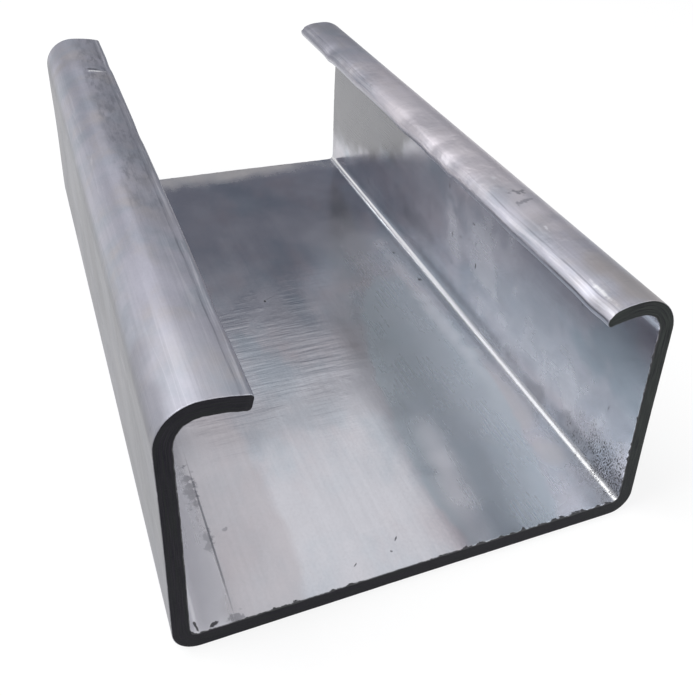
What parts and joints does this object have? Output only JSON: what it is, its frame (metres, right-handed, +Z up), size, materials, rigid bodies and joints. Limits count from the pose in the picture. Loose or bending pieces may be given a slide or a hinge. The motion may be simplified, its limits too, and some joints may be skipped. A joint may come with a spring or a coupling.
{
  "type": "c purlin",
  "caption": "Short sawn length of cold-formed lipped channel in galvanised steel, a C-section roof purlin lying on its web.",
  "frame": {"origin": "centre of the underside of the web, midway between the two cut ends", "axes": "+X across the web, +Y along the length, +Z up out of the web towards the lips"},
  "size_m": [0.09, 0.165, 0.05],
  "materials": {
    "galvanised_steel": "hot-dip zinc coating, dull grey with rolling streaks and pale patches"
  },
  "bodies": {
    "root": {"c_purlin": "galvanised_steel"}
  },
  "joints": []
}
